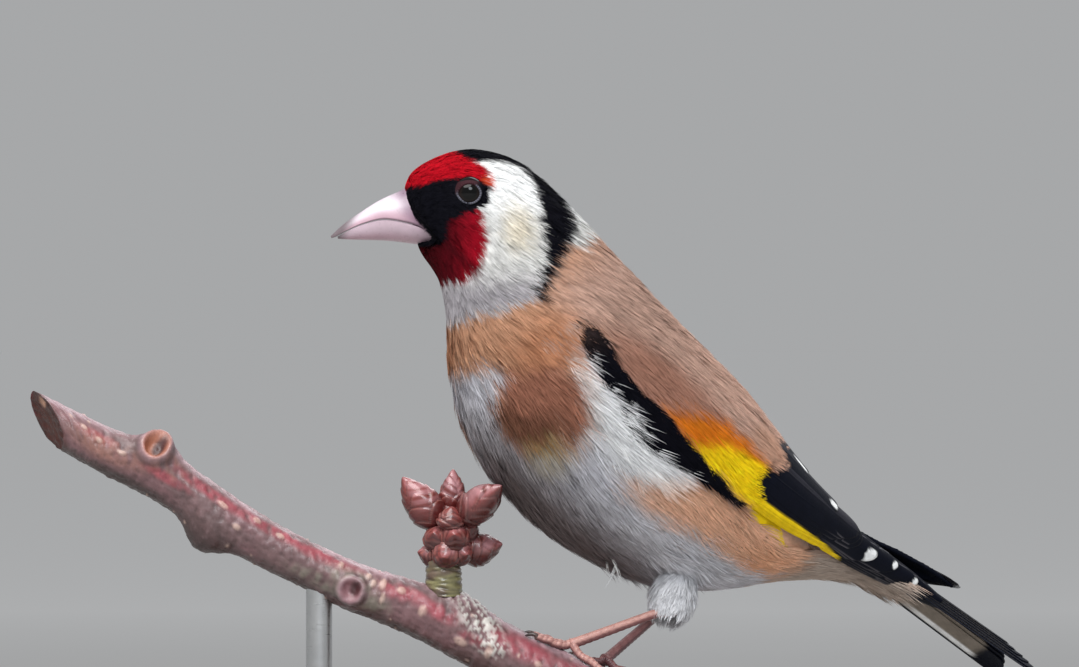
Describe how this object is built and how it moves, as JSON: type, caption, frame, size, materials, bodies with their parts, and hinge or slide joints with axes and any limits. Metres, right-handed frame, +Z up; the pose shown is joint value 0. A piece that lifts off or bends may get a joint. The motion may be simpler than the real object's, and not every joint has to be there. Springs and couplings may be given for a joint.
{
  "type": "european goldfinch model",
  "caption": "Life-size still model of a perched goldfinch with a red face, black and white head and a black wing with a yellow bar, on a cut twig held by a plain display stand.",
  "frame": {"origin": "centre of the stand's underside, on the surface it stands on", "axes": "+Z up; the bird's body faces -Y, its left side is at +X, its head is turned to its right, and the twig runs from the front right to the back left"},
  "size_m": [0.092, 0.1377, 0.121],
  "materials": {
    "plumage": "soft matt feathers",
    "eye": "wet gloss, dark brown",
    "horn": "smooth satin horn, pinkish ivory",
    "leg": "fine scales, pinkish brown",
    "claw": "dark horn",
    "bark": "smooth red-brown bark with a grey film",
    "bud": "overlapping red-brown bud scales",
    "stand_wood": "dark satin wood",
    "stand_metal": "brushed"
  },
  "bodies": {
    "root": {"head": "plumage", "neck": "plumage", "trunk": "plumage", "tail": "plumage", "wing_left": "plumage", "wing_right": "plumage", "thigh_left": "plumage", "thigh_right": "plumage", "eye_left": "eye", "eye_right": "eye", "bill_upper": "horn", "bill_lower": "horn", "tarsus_left": "leg", "toe_left_1": "leg", "toe_left_2": "leg", "toe_left_3": "leg", "toe_left_4": "leg", "claw_left_1": "claw", "claw_left_2": "claw", "claw_left_3": "claw", "claw_left_4": "claw", "tarsus_right": "leg", "toe_right_1": "leg", "toe_right_2": "leg", "toe_right_3": "leg", "toe_right_4": "leg", "claw_right_1": "claw", "claw_right_2": "claw", "claw_right_3": "claw", "claw_right_4": "claw", "perch": "bark", "bud_stalk": "bark", "bud_1": "bud", "bud_2": "bud", "bud_3": "bud", "bud_4": "bud", "bud_5": "bud", "stand_base": "stand_wood", "stand_rod_front": "stand_metal", "stand_rod_back": "stand_metal"}
  },
  "joints": []
}
